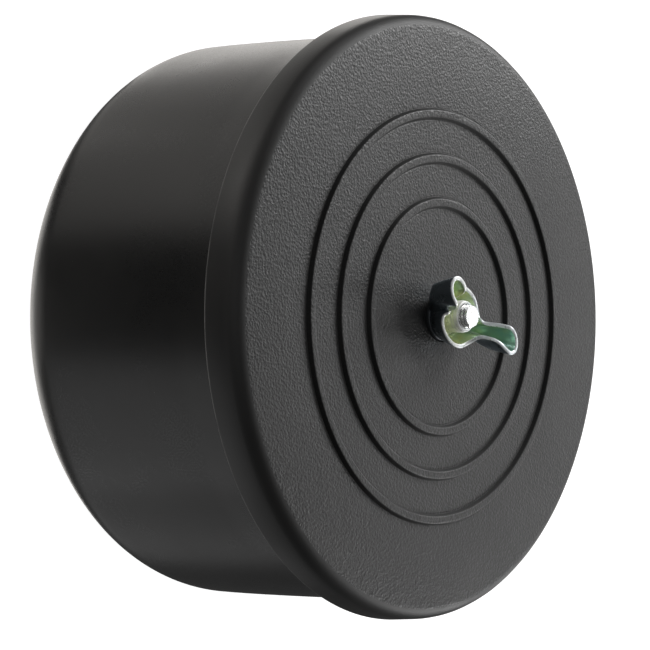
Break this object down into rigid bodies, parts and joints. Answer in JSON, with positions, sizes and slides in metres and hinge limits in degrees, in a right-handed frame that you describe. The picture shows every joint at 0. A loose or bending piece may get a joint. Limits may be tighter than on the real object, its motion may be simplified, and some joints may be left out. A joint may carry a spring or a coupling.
{
  "type": "rock tumbler barrel",
  "caption": "Round rubber tumbling barrel with flats inside, a rubber plug on a carriage bolt, and a ribbed cover with a rounded edge, held down by a pressed wing nut.",
  "frame": {"origin": "centre of the closed end's flat outer face, which the barrel stands on", "axes": "+Z along the barrel's axis towards the cover and the wing nut; +X and +Y are free, because the barrel is round"},
  "size_m": [0.1524, 0.1524, 0.089],
  "materials": {
    "drum_rubber": "smooth satin black rubber with fine mould marks",
    "plug_rubber": "matt black rubber",
    "cover_plastic": "black moulded plastic with a fine pebbled face and a smooth skirt",
    "plate_steel": "plain stainless sheet",
    "zinc_hardware": "bright zinc plate",
    "zinc_nut": "bright zinc plate with a faint green and yellow passivation tint"
  },
  "bodies": {
    "barrel": {"barrel": "drum_rubber"},
    "inner_lid": {"inner_lid": "plug_rubber", "pressure_plate": "plate_steel", "lid_bolt": "zinc_hardware", "bolt_seal": "plug_rubber", "plug_washer": "zinc_hardware", "jam_nut": "zinc_hardware"},
    "cover": {"cover": "cover_plastic"},
    "nut_washer": {"nut_washer": "zinc_hardware"},
    "wing_nut": {"wing_nut": "zinc_nut"}
  },
  "joints": [
    {"name": "inner_lid_pull", "type": "slide", "parent": "barrel", "child": "inner_lid", "axis": [0, 0, 1], "range_m": [0, 0.06]},
    {"name": "cover_lift", "type": "slide", "parent": "inner_lid", "child": "cover", "axis": [0, 0, 1], "range_m": [0, 0.03]},
    {"name": "nut_travel", "type": "slide", "parent": "cover", "child": "nut_washer", "axis": [0, 0, 1], "range_m": [0, 0.00905]},
    {"name": "nut_turn", "type": "hinge", "parent": "nut_washer", "child": "wing_nut", "pos_m": [0, 0, 0.0762], "axis": [0, 0, 1], "range_deg": [0, 3240]}
  ],
  "couplings": [
    {"joint": "nut_travel", "follows": "nut_turn", "m_per_rad": 0.00015915}
  ]
}
